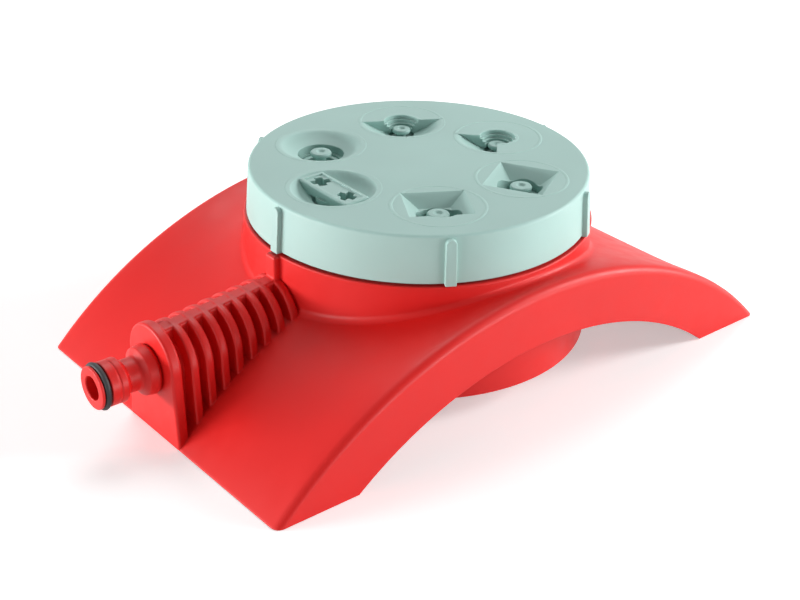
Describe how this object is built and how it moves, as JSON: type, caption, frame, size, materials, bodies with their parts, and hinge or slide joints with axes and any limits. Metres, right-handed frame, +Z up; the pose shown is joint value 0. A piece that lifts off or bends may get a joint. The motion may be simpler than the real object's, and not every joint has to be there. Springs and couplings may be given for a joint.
{
  "type": "garden sprinkler",
  "caption": "Low garden lawn sprinkler: an arched saddle base with a hose spigot carries a round turret whose stations give full, half, quarter, square, rectangular and jet sprays.",
  "frame": {"origin": "on the ground, at the middle of the object's box; the turret's axis stands 10.5 mm from it towards +X", "axes": "+X along the base, away from the hose spigot, which points along -X; +Z up along the turret's axis"},
  "size_m": [0.241, 0.1376, 0.0673],
  "materials": {
    "red_moulding": "satin gloss moulded red plastic",
    "pale_green_moulding": "satin moulded pale green plastic",
    "natural_moulding": "natural moulded plastic",
    "black_rubber": "matt black rubber",
    "zinc_plated_steel": "bright zinc plate"
  },
  "bodies": {
    "base": {"base_shell": "red_moulding", "inlet_end": "red_moulding", "turret_housing": "red_moulding", "seal_well": "red_moulding", "bottom_cover": "red_moulding", "cover_screw_1": "zinc_plated_steel", "cover_screw_2": "zinc_plated_steel", "cover_screw_3": "zinc_plated_steel", "cover_screw_4": "zinc_plated_steel", "inlet_spigot": "red_moulding", "spigot_o_ring": "black_rubber", "inlet_seal": "black_rubber", "port_spring": "zinc_plated_steel"},
    "turret": {"turret_cap": "pale_green_moulding", "port_plate": "natural_moulding", "nozzle_full_circle": "pale_green_moulding", "nozzle_half_circle": "pale_green_moulding", "nozzle_quarter_circle": "pale_green_moulding", "nozzle_square": "pale_green_moulding", "nozzle_rectangle": "pale_green_moulding", "nozzle_jets": "pale_green_moulding", "plate_screw_1": "zinc_plated_steel", "plate_screw_2": "zinc_plated_steel", "plate_screw_3": "zinc_plated_steel", "pivot_screw": "zinc_plated_steel", "pivot_washer": "zinc_plated_steel", "pivot_spring": "zinc_plated_steel"},
    "seal": {"port_seal": "black_rubber"}
  },
  "joints": [
    {"name": "turret_turn", "type": "hinge", "parent": "base", "child": "turret", "pos_m": [0.0105, 0, 0.05], "axis": [0, 0, 1], "continuous": true},
    {"name": "seal_slide", "type": "slide", "parent": "base", "child": "seal", "axis": [0, 0, 1], "range_m": [-0.0012, 0], "stiffness_N_per_m": 1000, "springref_m": 0.002, "deforming": ["port_spring"]}
  ]
}
